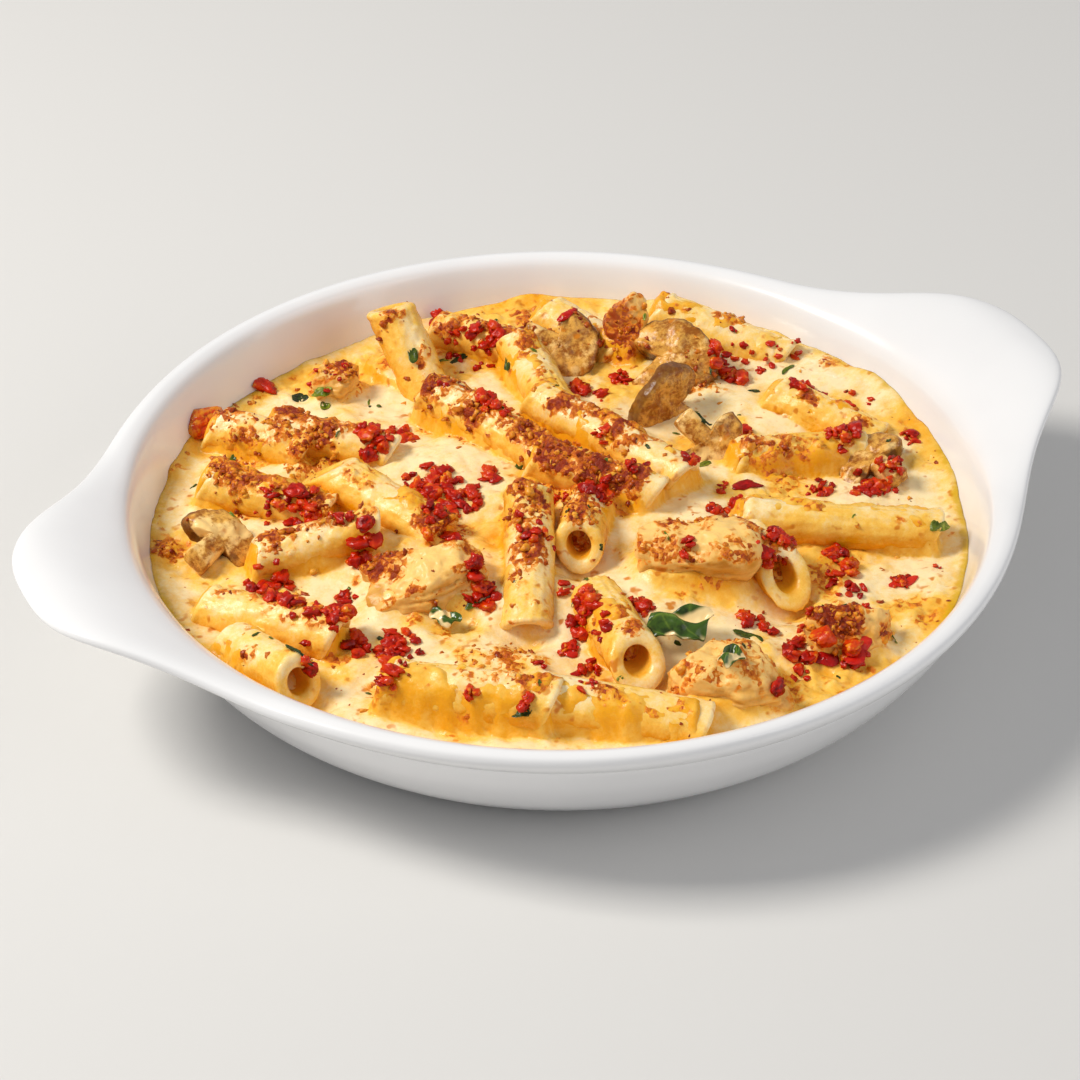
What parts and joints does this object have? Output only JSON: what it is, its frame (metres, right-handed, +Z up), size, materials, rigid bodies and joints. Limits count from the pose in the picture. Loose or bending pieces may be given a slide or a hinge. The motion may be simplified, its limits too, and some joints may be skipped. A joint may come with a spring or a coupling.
{
  "type": "dish of baked penne",
  "caption": "Eared round ceramic gratin dish filled with baked penne in cream sauce, with chicken chunks, mushroom slices, spinach leaves and browned crumbs on top.",
  "frame": {"origin": "centre of the dish's round foot, on the surface it stands on", "axes": "+X along the two ears, +Y across them to the far side from the viewer, +Z up"},
  "size_m": [0.2452, 0.2002, 0.0404],
  "materials": {
    "glazed_ceramic": "gloss",
    "baked_pasta": "satin",
    "cream_sauce": "satin",
    "roast_chicken": "satin",
    "cooked_mushroom": "satin",
    "spinach_leaf": "satin"
  },
  "bodies": {
    "root": {"dish": "glazed_ceramic", "penne_heap": "baked_pasta", "cream_sauce": "cream_sauce", "chicken_1": "roast_chicken", "chicken_2": "roast_chicken", "chicken_3": "roast_chicken", "chicken_4": "roast_chicken", "chicken_5": "roast_chicken", "chicken_6": "roast_chicken", "mushroom_1": "cooked_mushroom", "mushroom_2": "cooked_mushroom", "mushroom_3": "cooked_mushroom", "mushroom_4": "cooked_mushroom", "mushroom_5": "cooked_mushroom", "mushroom_6": "cooked_mushroom", "spinach_1": "spinach_leaf", "spinach_2": "spinach_leaf", "spinach_3": "spinach_leaf"}
  },
  "joints": []
}
